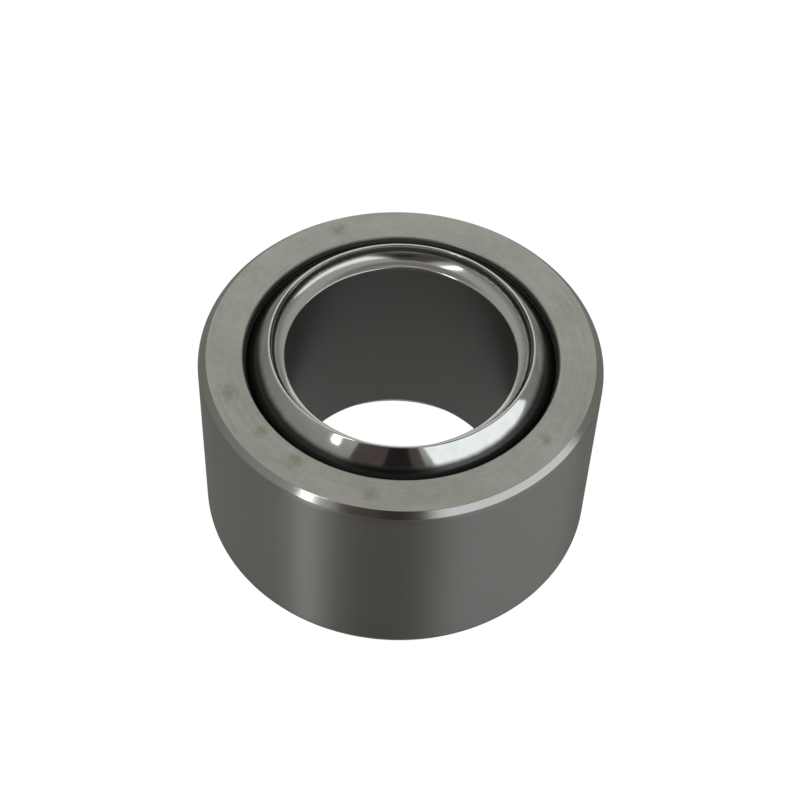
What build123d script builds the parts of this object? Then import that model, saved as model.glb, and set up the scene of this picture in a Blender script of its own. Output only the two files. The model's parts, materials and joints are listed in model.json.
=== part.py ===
from build123d import *
import os
from math import atan2, cos, degrees, hypot, radians, sqrt, tan

# Spherical plain bearing: a lined cylindrical race around a steel ball with a bore.
# Every piece is turned, so each is one section in the XZ plane, revolved about Z.
# The origin is the ball's centre, and +Z is the axis of the bore and of the race.

# Driving dimensions, in millimetres
bore_diameter = 25.4  # hole through the ball
shoulder = 1.85  # from the wall of the bore out to the rim of the ball's end face
race_width = 24.4  # between the race's two end faces
protrusion = 1.85  # how far the ball stands out of the race at each end
running_clearance = 0.05  # between the ball and its liner, all round
liner_thickness = 0.4
race_wall = 1.55  # steel of the race at its thinnest, round the middle of the ball
mouth_gap = 1.12  # open ring between the ball and the race, at the race's end face
liner_setback = 0.3  # from the foot of the mouth to the edge of the liner
outer_chamfer = 1.0
mouth_break = 0.15  # small chamfer on the rim of the mouth
rim_width = 0.25  # from the rim of the ball's end face in to the recess round the bore
rim_break = 0.1  # small chamfer between the ball's sphere and its end face
recess_wall = 0.2  # straight wall of the recess, from the ball's end face down to its cove
recess_slope = 18.0  # degrees by which the floor of the recess falls towards the bore
recess_floor = 0.08  # flat left of that floor, between the cove and the edge of the bore
bore_round = 0.3  # on the edge of the bore

# Sizes that follow
bore_radius = bore_diameter / 2
rim_radius = bore_radius + shoulder
race_half = race_width / 2
ball_half = race_half + protrusion
ball_radius = hypot(rim_radius, ball_half)
liner_radius = ball_radius + running_clearance
seat_radius = liner_radius + liner_thickness
outer_radius = seat_radius + race_wall
mouth_radius = sqrt(ball_radius**2 - race_half**2) + mouth_gap
mouth_foot = sqrt(seat_radius**2 - mouth_radius**2)  # where the mouth meets the seat
liner_half = mouth_foot - liner_setback
recess_radius = rim_radius - rim_width
recess_width = recess_radius - bore_radius
recess_turn = tan(radians(90 - recess_slope) / 2)  # setback of a round there, over its radius
cove_setback = recess_width / cos(radians(recess_slope)) - recess_floor - bore_round * recess_turn
recess_cove = cove_setback / recess_turn  # radius of the cove between the wall and the floor
recess_half = ball_half - recess_wall - cove_setback
bore_half = recess_half - recess_width * tan(radians(recess_slope))

os.makedirs("parts", exist_ok=True)
right_half = (Align.MIN, Align.CENTER)  # a section lies on the +X side of the axis

# Outer race: a cylinder with a spherical seat and a straight mouth at each end
with BuildPart() as outer_race:
    with BuildSketch(Plane.XZ) as race_section:
        Rectangle(outer_radius, race_width, align=right_half)
        chamfer(race_section.vertices().group_by(Axis.X)[-1], outer_chamfer)
        Rectangle(mouth_radius, race_width, align=right_half, mode=Mode.SUBTRACT)
        chamfer(race_section.vertices().group_by(Axis.X)[0], mouth_break)
        Circle(seat_radius, mode=Mode.SUBTRACT)
    revolve(axis=Axis.Z)
outer_race.part.label = "outer_race"

# Liner: a thin spherical shell, bonded to the race's seat
with BuildPart() as liner:
    with BuildSketch(Plane.XZ):
        Circle(seat_radius)
        Circle(liner_radius, mode=Mode.SUBTRACT)
        Rectangle(seat_radius, 2 * liner_half, align=right_half, mode=Mode.INTERSECT)
    revolve(axis=Axis.Z)
liner.part.label = "liner"

# Ball: a sphere cut flat at both ends, with a coved recess round the bore at each end
with BuildPart() as ball:
    with BuildSketch(Plane.XZ) as ball_section:
        with BuildLine():
            rim_angle = degrees(atan2(ball_half, rim_radius))
            sphere = CenterArc((0, 0), ball_radius, -rim_angle, 2 * rim_angle)
            Polyline(
                sphere @ 1,
                (recess_radius, ball_half),
                (recess_radius, recess_half),
                (bore_radius, bore_half),
                (bore_radius, -bore_half),
                (recess_radius, -recess_half),
                (recess_radius, -ball_half),
                sphere @ 0,
            )
        make_face()
        recess_vertices = ball_section.vertices().group_by(Axis.X)[1].sort_by(Axis.Y)
        fillet(recess_vertices[1:3], recess_cove)
        fillet(ball_section.vertices().group_by(Axis.X)[0], bore_round)
        chamfer(ball_section.vertices().group_by(Axis.X)[-1], rim_break)
    revolve(axis=Axis.Z)
ball.part.label = "ball"

export_step(outer_race.part, "parts/outer_race.step")
export_step(liner.part, "parts/liner.step")
export_step(ball.part, "parts/ball.step")
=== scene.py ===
"""Looks of the spherical joint: a polished ball with a bore, in a plain turned race.

Every piece is turned, so each is one section revolved about Z, in metres. A section is a
closed outline in (radius, height), drawn with the metal on its left.
"""

import json
from collections import namedtuple
from math import atan2, cos, pi, radians, sin, sqrt

import bpy
import numpy as np
from mathutils import Matrix, Vector


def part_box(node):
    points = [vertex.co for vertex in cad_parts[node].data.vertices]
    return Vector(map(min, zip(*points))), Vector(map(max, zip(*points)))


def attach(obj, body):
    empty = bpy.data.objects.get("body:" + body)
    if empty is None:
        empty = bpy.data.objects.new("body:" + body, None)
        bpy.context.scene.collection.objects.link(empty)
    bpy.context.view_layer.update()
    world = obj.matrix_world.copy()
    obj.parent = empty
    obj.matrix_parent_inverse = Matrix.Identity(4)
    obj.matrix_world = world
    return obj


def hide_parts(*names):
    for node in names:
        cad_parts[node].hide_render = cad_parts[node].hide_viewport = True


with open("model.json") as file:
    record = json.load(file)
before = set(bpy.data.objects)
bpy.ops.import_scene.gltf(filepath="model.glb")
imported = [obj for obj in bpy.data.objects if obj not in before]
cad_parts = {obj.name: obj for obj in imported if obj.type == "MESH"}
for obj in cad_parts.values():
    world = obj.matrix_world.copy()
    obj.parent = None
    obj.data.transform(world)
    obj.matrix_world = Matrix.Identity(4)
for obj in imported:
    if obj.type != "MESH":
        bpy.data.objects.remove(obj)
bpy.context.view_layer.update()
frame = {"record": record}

MM = 0.001
TURNS = 384  # facets round each turned piece
ROUND_STEPS = 10  # facets across each rounded corner

# Sizes that the frame gives
mounts = {mount["name"]: mount["dims"] for mount in frame["record"]["mounts"]}
race_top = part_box("outer_race")[1]
ball_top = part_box("ball")[1]
liner_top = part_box("liner")[1]
outer_radius = race_top[0]
race_half = race_top[2]
ball_radius = ball_top[0]
ball_half = ball_top[2]
seat_radius = liner_top[0]
liner_half = liner_top[2]
bore_radius = mounts["ball_bore"]["r_mm"] * MM
bore_half = mounts["ball_bore"]["length_mm"] * MM / 2

# Sizes that the frame doesn't give
liner_thickness = 0.4 * MM
liner_edge = 0.05 * MM  # round on the liner's edges
mouth_radius = 17.25 * MM
mouth_break = 0.15 * MM
recess_radius = 14.3 * MM
recess_wall = 0.2 * MM  # straight wall above the cove
recess_cove = 1.905 * MM
recess_slope = 18  # degrees by which the recess's floor falls towards the bore
bore_round = 0.3 * MM
edge_round = 0.06 * MM  # round on the race's other turned edges
outer_chamfer = 0.92 * MM  # at 45 degrees on the race's outside, with softened edges
soft_foot = 0.38 * MM  # round between the chamfer and the outside
soft_top = 0.07 * MM  # round between the chamfer and the end face
rim_round = 0.11 * MM  # round on both edges of the ball's end ring

# Sizes that follow
liner_radius = seat_radius - liner_thickness
rim_radius = sqrt(ball_radius**2 - ball_half**2)
mouth_foot = sqrt(seat_radius**2 - mouth_radius**2)


# One stretch of a section. at(s) gives its point and tangent at s from 0 to 1. round_after is
# how much of its end the round to the next run takes, and 0 where that run follows on smoothly.
Run = namedtuple("Run", "at length finish steps round_after")


class Outline:
    """A closed section. Runs are added in order, and the corner after each run is rounded."""

    def __init__(self, finishes):
        self.finishes = finishes
        self.runs = []

    def line(self, start, end, finish, steps, round_after=edge_round):
        start, end = np.array(start), np.array(end)
        tangent = (end - start) / np.linalg.norm(end - start)

        def at(s):
            return start + (end - start) * s, tangent

        length = np.linalg.norm(end - start)
        self.runs.append(Run(at, length, finish, steps, round_after))

    def arc(self, centre, radius, angles, finish, steps, round_after=edge_round):
        """An arc of a circle between two angles in degrees."""
        centre = np.array(centre)
        first, last = np.radians(angles)

        def at(s):
            a = first + (last - first) * s
            outward = np.array([cos(a), sin(a)])
            along = np.array([-sin(a), cos(a)]) * np.sign(last - first)
            return centre + radius * outward, along

        length = radius * abs(last - first)
        self.runs.append(Run(at, length, finish, steps, round_after))

    def points(self):
        """Points, outward normals and the finish of the stretch that follows each point."""
        places, normals, finishes = [], [], []

        def add(point, tangent, finish):
            places.append(point)
            normals.append((tangent[1], -tangent[0]))
            finishes.append(self.finishes.index(finish))

        for i, run in enumerate(self.runs):
            following = self.runs[(i + 1) % len(self.runs)]
            first = self.runs[i - 1].round_after / run.length
            last = 1 - run.round_after / run.length
            stretch = np.linspace(first, last, run.steps + 1)
            if run.round_after == 0:
                stretch = stretch[:-1]
            for s in stretch:
                add(*run.at(s), run.finish)
            if run.round_after == 0:
                continue
            corner = run.at(1)[0]
            begin = run.at(last)[0]
            end = following.at(run.round_after / following.length)[0]
            for s in np.linspace(0, 1, ROUND_STEPS + 1)[1:-1]:
                point = (1 - s) ** 2 * begin + 2 * s * (1 - s) * corner + s**2 * end
                tangent = (1 - s) * (corner - begin) + s * (end - corner)
                add(point, tangent / np.linalg.norm(tangent), run.finish)
        return np.array(places), np.array(normals), finishes


def turned(name, outline, materials):
    """Revolves a section about Z, with its true normals on every vertex."""
    places, normals, finishes = outline.points()
    count = len(places)
    around = np.linspace(0, 2 * pi, TURNS, endpoint=False)
    spin = np.stack([np.cos(around), np.sin(around)], 1)

    def revolve(section):
        flat = section[None, :, :1] * spin[:, None, :]
        height = np.broadcast_to(section[None, :, 1:], (TURNS, count, 1))
        return np.concatenate([flat, height], 2).reshape(-1, 3)

    ring = np.arange(TURNS)[:, None] * count
    next_ring = (np.arange(TURNS)[:, None] + 1) % TURNS * count
    here = np.arange(count)[None, :]
    after = (here + 1) % count
    quads = np.stack([ring + here, next_ring + here, next_ring + after, ring + after], 2)
    mesh = bpy.data.meshes.new(name)
    mesh.from_pydata(revolve(places).tolist(), [], quads.reshape(-1, 4).tolist())
    mesh.polygons.foreach_set("material_index", np.tile(finishes, TURNS))
    mesh.shade_smooth()
    mesh.normals_split_custom_set_from_vertices(revolve(normals).tolist())
    for made in materials:
        mesh.materials.append(made)
    piece = bpy.data.objects.new(name, mesh)
    bpy.context.scene.collection.objects.link(piece)
    return piece


class Wire:
    """An output socket. Arithmetic on it adds Math nodes to its tree."""

    def __init__(self, tree, socket):
        self.tree = tree
        self.socket = socket

    def __add__(self, other):
        return self.tree.math("ADD", self, other)

    def __rsub__(self, other):
        return self.tree.math("SUBTRACT", other, self)

    def __mul__(self, other):
        return self.tree.math("MULTIPLY", self, other)

    def __truediv__(self, other):
        return self.tree.math("DIVIDE", self, other)

    __radd__ = __add__
    __rmul__ = __mul__


class Shader:
    """The node tree of one material or of the world."""

    def __init__(self, owner):
        owner.use_nodes = True
        self.tree = owner.node_tree
        self.tree.nodes.clear()

    def node(self, kind, settings=None, inputs=None, output=0):
        """Adds a node, sets it up, and gives one of its outputs."""
        node = self.tree.nodes.new(kind)
        for key, value in (settings or {}).items():
            if key == "stops":
                self.set_stops(node.color_ramp, value)
            else:
                setattr(node, key, value)
        for key, value in (inputs or {}).items():
            if isinstance(value, Wire):
                self.tree.links.new(value.socket, node.inputs[key])
            else:
                node.inputs[key].default_value = value
        if not node.outputs:
            return None
        return Wire(self, node.outputs[output])

    @staticmethod
    def set_stops(ramp, stops):
        ramp.elements.remove(ramp.elements[0])
        ramp.elements[0].position = stops[0][0]
        for position, _ in stops[1:]:
            ramp.elements.new(position)
        for element, (_, grey) in zip(ramp.elements, stops):
            element.color = (grey, grey, grey, 1)

    def math(self, operation, *values):
        inputs = dict(enumerate(values))
        return self.node("ShaderNodeMath", {"operation": operation}, inputs)

    def mix(self, factor, first, second):
        """A colour between two colours."""
        settings = {"data_type": "RGBA"}
        return self.node("ShaderNodeMix", settings, {0: factor, 6: first, 7: second}, 2)

    def noise(self, place, scale, detail, rough):
        inputs = {"Vector": place, "Scale": scale, "Detail": detail, "Roughness": rough}
        return self.node("ShaderNodeTexNoise", {"noise_dimensions": "3D"}, inputs)

    def ramp(self, value, stops):
        """Grey levels at positions along a value from 0 to 1."""
        return self.node("ShaderNodeValToRGB", {"stops": stops}, {"Fac": value})

    def band(self, value, low, high):
        """0 below low, 1 above high, and smooth between them."""
        settings = {"interpolation_type": "SMOOTHSTEP"}
        inputs = {"Value": value, "From Min": low, "From Max": high}
        return self.node("ShaderNodeMapRange", settings, inputs)

    def place(self):
        """The point on the piece, in millimetres, as a vector and as x, y, z."""
        point = self.node("ShaderNodeTexCoord", output="Object")
        settings = {"operation": "SCALE"}
        vector = self.node("ShaderNodeVectorMath", settings, {0: point, "Scale": 1 / MM})
        split = {axis: self.node("ShaderNodeSeparateXYZ", None, {0: vector}, axis) for axis in "XYZ"}
        return vector, split["X"], split["Y"], split["Z"]

    def spot(self, place, centre, size, ragged):
        """1 in a spot round a point, in millimetres, and 0 away from it. ragged is a noise."""
        settings = {"operation": "DISTANCE"}
        away = self.node("ShaderNodeVectorMath", settings, {0: place, 1: centre}, "Value")
        return 1 - self.band(away / size + 1.6 * ragged, 0.8, 1.7)

    def vector(self, x, y, z):
        return self.node("ShaderNodeCombineXYZ", None, {0: x, 1: y, 2: z})

    def metal(self, colour, rough, height=None, depth=0.0, anisotropic=0.0):
        """A metal surface. It may have a height map, whose depth is in millimetres.

        anisotropic is how far lines round the axis spread reflections across themselves.
        """
        inputs = {
            "Base Color": colour,
            "Metallic": 1.0,
            "Roughness": rough,
            "Anisotropic": anisotropic,
            "Anisotropic Rotation": 0.25,  # a quarter turn, so across the lines
        }
        if height is not None:
            bump = {"Strength": 1.0, "Distance": depth * MM, "Height": height}
            inputs["Normal"] = self.node("ShaderNodeBump", None, bump)
        surface = self.node("ShaderNodeBsdfPrincipled", None, inputs)
        self.node("ShaderNodeOutputMaterial", None, {"Surface": surface})


def material(name):
    """A new material and its shader."""
    made = bpy.data.materials.new(name)
    return made, Shader(made)


def polar(shader):
    """Radius, unit x and unit y round the axis, and height, in millimetres."""
    _, x, y, z = shader.place()
    radius = shader.math("SQRT", x * x + y * y)
    return radius, x / radius, y / radius, z


# Places of the stains on the upper end face, and their sizes, in millimetres
STAINS = [
    (-14.4, -11.8, 1.3),
    (-10.5, -15.5, 1.8),
    (-18.3, -6.7, 1.7),
    (-2.5, -19.2, 1.4),
    (15.5, -11.2, 1.2),
    (-7.8, 18.0, 1.5),
]


def turned_face():
    """The race's end faces: satin, with faint turning lines and a few stains."""
    made, s = material("turned_face")
    radius, east, north, _ = polar(s)
    lay = s.noise(s.vector(east * 3, north * 3, radius * 5), 1.0, 4.0, 0.65)
    place = s.place()[0]
    mottle = s.noise(place, 1.2, 4.0, 0.6)
    clouds = s.noise(place, 0.22, 3.0, 0.55)
    ragged = s.noise(place, 1.3, 4.0, 0.7)
    stains = sum(s.spot(place, (x, y, race_half / MM), size, ragged) for x, y, size in STAINS)
    tone = s.band(0.3 * mottle + 0.3 * clouds + 0.4 * lay, 0.36, 0.64)
    plain = s.mix(tone, (0.43, 0.433, 0.405, 1), (0.55, 0.552, 0.515, 1))
    colour = s.mix(stains, plain, (0.37, 0.37, 0.3, 1))
    s.metal(colour, 0.34 + 0.1 * mottle, lay, depth=0.006, anisotropic=0.6)
    return made


def ground_wall():
    """The race's outside: ground, so it spreads reflections up and down."""
    made, s = material("ground_wall")
    _, east, north, z = polar(s)
    lines = s.noise(s.vector(east * 4, north * 4, z * 14), 1.0, 3.0, 0.6)
    colour = s.mix(lines, (0.45, 0.446, 0.427, 1), (0.53, 0.526, 0.503, 1))
    s.metal(colour, 0.43 + 0.06 * lines, lines, depth=0.002, anisotropic=1.0)
    return made


def polished_edge():
    """The race's chamfers: bright, with light tool lines."""
    made, s = material("polished_edge")
    _, east, north, z = polar(s)
    lines = s.noise(s.vector(east * 2, north * 2, z * 12), 1.0, 2.0, 0.5)
    colour = (0.6, 0.6, 0.57, 1)
    s.metal(colour, 0.17 + 0.06 * lines, lines, depth=0.001, anisotropic=0.8)
    return made


def dark_mouth():
    """The wall of the mouth and the seat: plain turned steel, dulled by the bonding of the liner."""
    made, s = material("dark_mouth")
    mottle = s.noise(s.place()[0], 1.4, 3.0, 0.6)
    colour = s.mix(mottle, (0.66, 0.66, 0.64, 1), (0.76, 0.76, 0.73, 1))
    s.metal(colour, 0.5 + 0.15 * mottle)
    return made


def liner_weave():
    """The liner: a matt black woven sheet."""
    made, s = material("liner_weave")
    _, x, y, z = s.place()
    ribs = 260  # round the liner
    hoops = 14  # radians of the wave to a millimetre of height
    threads = s.math("SINE", z * hoops) * s.math("SINE", s.math("ARCTAN2", y, x) * ribs)
    colour = s.mix(s.band(threads, -1, 1), (0.04, 0.04, 0.038, 1), (0.08, 0.08, 0.075, 1))
    bump = s.node("ShaderNodeBump", None, {"Distance": 0.05 * MM, "Height": threads})
    inputs = {"Base Color": colour, "Roughness": 0.8, "Normal": bump}
    surface = s.node("ShaderNodeBsdfPrincipled", None, inputs)
    s.node("ShaderNodeOutputMaterial", None, {"Surface": surface})
    return made


def mirror_ball():
    """The ball's sphere and end ring: mirror polish, with painted shade: a dark band low on the sphere
    next to the race.
    """
    made, s = material("mirror_ball")
    _, east, _, z = polar(s)
    smudge_and_shade_edge = s.noise(s.place()[0], 0.8, 4.0, 0.6)
    height = s.math("ABSOLUTE", z) + 0.2 * smudge_and_shade_edge
    reach = s.math("POWER", east, 4)  # the painted shade reaches higher at the east and west sides
    # painted shade: 0 low on the sphere next to the race, 1 above it
    unshaded = s.band(height, 12.25 + 0.55 * reach, 12.8 + 0.85 * reach)
    bright = s.mix(s.band(smudge_and_shade_edge, 0.3, 0.7), (0.74, 0.74, 0.72, 1), (0.8, 0.8, 0.78, 1))
    # painted shade: the sphere's colour turns dark below the band, next to the race
    colour = s.mix(unshaded, (0.09, 0.09, 0.088, 1), bright)
    s.metal(colour, 0.22 - 0.16 * unshaded + 0.04 * smudge_and_shade_edge)
    return made


def turned_recess():
    """The recess round the bore: turned and polished, so it smears reflections down its section."""
    made, s = material("turned_recess")
    radius, east, north, z = polar(s)
    lines = s.noise(s.vector(east * 2, north * 2, (radius + z) * 8), 1.0, 3.0, 0.6)
    colour = s.mix(lines, (0.68, 0.68, 0.66, 1), (0.76, 0.76, 0.74, 1))
    s.metal(colour, 0.12 + 0.08 * lines, anisotropic=0.6)
    return made


def honed_bore():
    """The bore: dark satin, with painted shade: its steel is coloured much darker than the rest, for
    the shade inside the hole.
    """
    made, s = material("honed_bore")
    _, east, north, z = polar(s)
    lines = s.noise(s.vector(east * 5, north * 5, z * 6), 1.0, 3.0, 0.6)
    # painted shade: dark steel colours for the shade inside the bore
    colour = s.mix(lines, (0.19, 0.192, 0.178, 1), (0.25, 0.253, 0.235, 1))
    s.metal(colour, 0.4 + 0.08 * lines, lines, depth=0.004, anisotropic=0.4)
    return made


def make_race():
    """The outer race, from the foot of its outside up, over the top, and down inside."""
    outline = Outline(["wall", "edge", "face", "mouth"])
    low_out = outer_radius - outer_chamfer
    flat = race_half - outer_chamfer
    rim = mouth_radius + mouth_break
    seat_angle = np.degrees(atan2(mouth_foot, mouth_radius))
    outline.line((outer_radius, -flat), (outer_radius, flat), "wall", 12, soft_foot)
    outline.line((outer_radius, flat), (low_out, race_half), "edge", 3, soft_top)
    outline.line((low_out, race_half), (rim, race_half), "face", 12)
    outline.line((rim, race_half), (mouth_radius, race_half - mouth_break), "face", 2)
    outline.line((mouth_radius, race_half - mouth_break), (mouth_radius, mouth_foot), "mouth", 3)
    outline.arc((0, 0), seat_radius, (seat_angle, -seat_angle), "mouth", 40)
    outline.line((mouth_radius, -mouth_foot), (mouth_radius, mouth_break - race_half), "mouth", 3)
    outline.line((mouth_radius, mouth_break - race_half), (rim, -race_half), "face", 2)
    outline.line((rim, -race_half), (low_out, -race_half), "face", 12, soft_top)
    outline.line((low_out, -race_half), (outer_radius, -flat), "edge", 3, soft_foot)
    materials = [ground_wall(), polished_edge(), turned_face(), dark_mouth()]
    piece = turned("turned_race", outline, materials)
    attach(piece, "race")
    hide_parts("outer_race")


def make_liner():
    """The liner: a shell against the race's seat."""
    outline = Outline(["liner"])
    outer = sqrt(seat_radius**2 - liner_half**2)
    inner = sqrt(liner_radius**2 - liner_half**2)
    outer_angle = np.degrees(atan2(liner_half, outer))
    inner_angle = np.degrees(atan2(liner_half, inner))
    outline.arc((0, 0), seat_radius, (-outer_angle, outer_angle), "liner", 40, liner_edge)
    outline.line((outer, liner_half), (inner, liner_half), "liner", 3, liner_edge)
    outline.arc((0, 0), liner_radius, (inner_angle, -inner_angle), "liner", 40, liner_edge)
    outline.line((inner, -liner_half), (outer, -liner_half), "liner", 3, liner_edge)
    piece = turned("woven_liner", outline, [liner_weave()])
    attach(piece, "race")
    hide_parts("liner")


def below(point):
    """The same point of a section at the other end."""
    return point[0], -point[1]


def make_ball():
    """The ball, from its sphere in over the end ring and the recess, and down the bore."""
    outline = Outline(["mirror", "recess", "bore"])
    rim_angle = np.degrees(atan2(ball_half, rim_radius))
    wall_foot = ball_half - recess_wall
    centre = recess_radius - recess_cove
    fall = radians(recess_slope)
    cove_end = (centre + recess_cove * sin(fall), wall_foot - recess_cove * cos(fall))
    bore_centre = bore_radius + bore_round
    floor_end = (bore_centre - bore_round * sin(fall), bore_half + bore_round * cos(fall))
    outline.arc((0, 0), ball_radius, (-rim_angle, rim_angle), "mirror", 72, rim_round)
    outline.line((rim_radius, ball_half), (recess_radius, ball_half), "mirror", 1, rim_round)
    outline.line((recess_radius, ball_half), (recess_radius, wall_foot), "recess", 1, 0)
    outline.arc((centre, wall_foot), recess_cove, (0, recess_slope - 90), "recess", 32, 0)
    outline.line(cove_end, floor_end, "recess", 1, 0)
    outline.arc((bore_centre, bore_half), bore_round, (90 + recess_slope, 180), "recess", 12, 0)
    outline.line((bore_radius, bore_half), (bore_radius, -bore_half), "bore", 12, 0)
    outline.arc((bore_centre, -bore_half), bore_round, (180, 270 - recess_slope), "recess", 12, 0)
    outline.line(below(floor_end), below(cove_end), "recess", 1, 0)
    outline.arc((centre, -wall_foot), recess_cove, (90 - recess_slope, 0), "recess", 32, 0)
    outline.line((recess_radius, -wall_foot), (recess_radius, -ball_half), "recess", 1, rim_round)
    outline.line((recess_radius, -ball_half), (rim_radius, -ball_half), "mirror", 1, rim_round)
    piece = turned("polished_ball", outline, [mirror_ball(), turned_recess(), honed_bore()])
    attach(piece, "ball")
    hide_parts("ball")


def towards(bearing, height):
    """A unit vector: bearing is degrees to the right of the camera's side, height is above level."""
    b, h = radians(bearing), radians(height)
    return Vector((cos(h) * sin(b), -cos(h) * cos(b), sin(h)))


def card(name, corners, strength, colour=(1, 1, 1), distance=0.5):
    """A glowing studio card, part of a sphere round the object, between four (bearing, height) corners.

    The corners are in degrees, and the distance from the object is in metres.
    """
    steps = 12
    low_left, low_right, high_right, high_left = [np.array(c, float) for c in corners]
    points = []
    for i in range(steps + 1):
        for j in range(steps + 1):
            u, v = j / steps, i / steps
            low = low_left * (1 - u) + low_right * u
            high = high_left * (1 - u) + high_right * u
            points.append(towards(*(low * (1 - v) + high * v)) * distance)
    row = steps + 1
    faces = []
    for i in range(steps):
        for j in range(steps):
            k = i * row + j
            faces.append((k, k + 1, k + row + 1, k + row))
    mesh = bpy.data.meshes.new(name)
    mesh.from_pydata(points, [], faces)
    made, s = material(name)
    glow = s.node("ShaderNodeEmission", None, {"Color": (*colour, 1), "Strength": strength})
    s.node("ShaderNodeOutputMaterial", None, {"Surface": glow})
    mesh.materials.append(made)
    piece = bpy.data.objects.new(name, mesh)
    bpy.context.scene.collection.objects.link(piece)
    piece.visible_camera = False


def make_floor():
    """A pale floor under the ball: white to the camera, duller where the metal mirrors it."""
    half_side = 3.0
    signs = [(-1, -1), (1, -1), (1, 1), (-1, 1)]
    corners = [(east * half_side, north * half_side, 0) for east, north in signs]
    mesh = bpy.data.meshes.new("floor")
    mesh.from_pydata(corners, [], [(0, 1, 2, 3)])
    made, s = material("pale_floor")
    _, x, y, _ = s.place()
    white_seen = 0.89  # share of white for the camera, and the rest keeps the object's shadow
    white_mirrored = 0.25  # share of white that the bore mirrors
    below_bore = 1 - s.band(s.math("SQRT", x * x + y * y), 12, 20)
    white = s.node("ShaderNodeEmission", None, {"Color": (1, 1, 1, 1), "Strength": 1.12})
    seen = s.node("ShaderNodeLightPath", output="Is Camera Ray")
    mirrored = s.node("ShaderNodeLightPath", output="Is Glossy Ray")
    through = s.node("ShaderNodeLightPath", output="Is Transmission Ray")
    tone = s.mix(mirrored, (0.8, 0.8, 0.8, 1), (0.55, 0.55, 0.55, 1))
    paint = s.node("ShaderNodeBsdfDiffuse", None, {"Color": tone})
    share = white_seen * s.math("MAXIMUM", seen, through) + white_mirrored * mirrored * below_bore
    surface = s.node("ShaderNodeMixShader", None, {0: share, 1: paint, 2: white})
    s.node("ShaderNodeOutputMaterial", None, {"Surface": surface})
    mesh.materials.append(made)
    floor = bpy.data.objects.new("floor", mesh)
    floor.location.z = -ball_half
    bpy.context.scene.collection.objects.link(floor)


# Brightness of the room at heights from level, 0, to overhead, 1
ROOM = [(0.0, 0.2), (0.2, 0.24), (0.3, 0.3), (0.44, 0.38), (0.68, 0.36), (0.76, 0.2), (1.0, 0.16)]


def make_world():
    """A dim room, paler half way up and darker overhead, and white where the camera sees it."""
    world = bpy.data.worlds.new("studio")
    bpy.context.scene.world = world
    s = Shader(world)
    direction = s.node("ShaderNodeTexCoord", output="Generated")
    height = s.node("ShaderNodeSeparateXYZ", None, {0: direction}, "Z")
    angle = s.math("ARCSINE", height) * (2 / pi)
    level = s.ramp(angle, ROOM)
    warm = s.mix(level, (0, 0, 0, 1), (1, 1, 0.94, 1))
    room = s.node("ShaderNodeBackground", None, {"Color": warm, "Strength": 1.0})
    white = s.node("ShaderNodeBackground", None, {"Color": (1, 1, 1, 1), "Strength": 1.0})
    seen = s.node("ShaderNodeLightPath", output="Is Camera Ray")
    surface = s.node("ShaderNodeMixShader", None, {0: seen, 1: room, 2: white})
    s.node("ShaderNodeOutputWorld", None, {"Surface": surface})


def make_camera():
    """The photograph's view, fitted to the outlines of the race, the gap, the rim and the bore."""
    width, focal_length = 800, 1914.3  # pixels
    distance = 9.4028 * outer_radius  # from the centre of the race's upper face
    height, roll = 0.8663, -0.0459  # radians
    centre = Vector((0, 0, race_half))
    where = centre + distance * Vector((0, -cos(height), sin(height)))
    aim = centre + outer_radius * Vector((0.0033, -0.3020, 0))
    forward = (aim - where).normalized()
    right = forward.cross(Vector((0, 0, 1))).normalized()
    down = forward.cross(right)
    x = cos(roll) * right + sin(roll) * down
    y = sin(roll) * right - cos(roll) * down
    turn = Matrix((x, y, -forward)).transposed()
    data = bpy.data.cameras.new("camera")
    data.lens = data.sensor_width * focal_length / width
    data.clip_start = 0.01
    camera = bpy.data.objects.new("camera", data)
    camera.matrix_world = Matrix.Translation(where) @ turn.to_4x4()
    bpy.context.scene.collection.objects.link(camera)
    bpy.context.scene.camera = camera


make_race()
make_liner()
make_ball()
make_floor()
make_world()
card("window_card", [(30, 12), (98, 9), (89, 25), (16, 42)], 1.1, (0.93, 0.97, 1.0))
card("back_card", [(156, 16), (204, 16), (204, 82), (156, 82)], 0.7, (1, 1, 0.95), 0.55)
card("lamp_card", [(-46.5, 26), (-41, 26), (-40.5, 62), (-47, 62)], 4.6)
card("dark_card", [(-37, -3), (27, -3), (8, 60), (-22, 60)], 0.07, (1, 0.8, 0.76))
card("black_card", [(-9, 22), (11, 22), (7, 38), (-5, 38)], 0.015, (1, 0.9, 0.9), 0.45)
make_camera()
bpy.context.scene.view_settings.view_transform = "Standard"
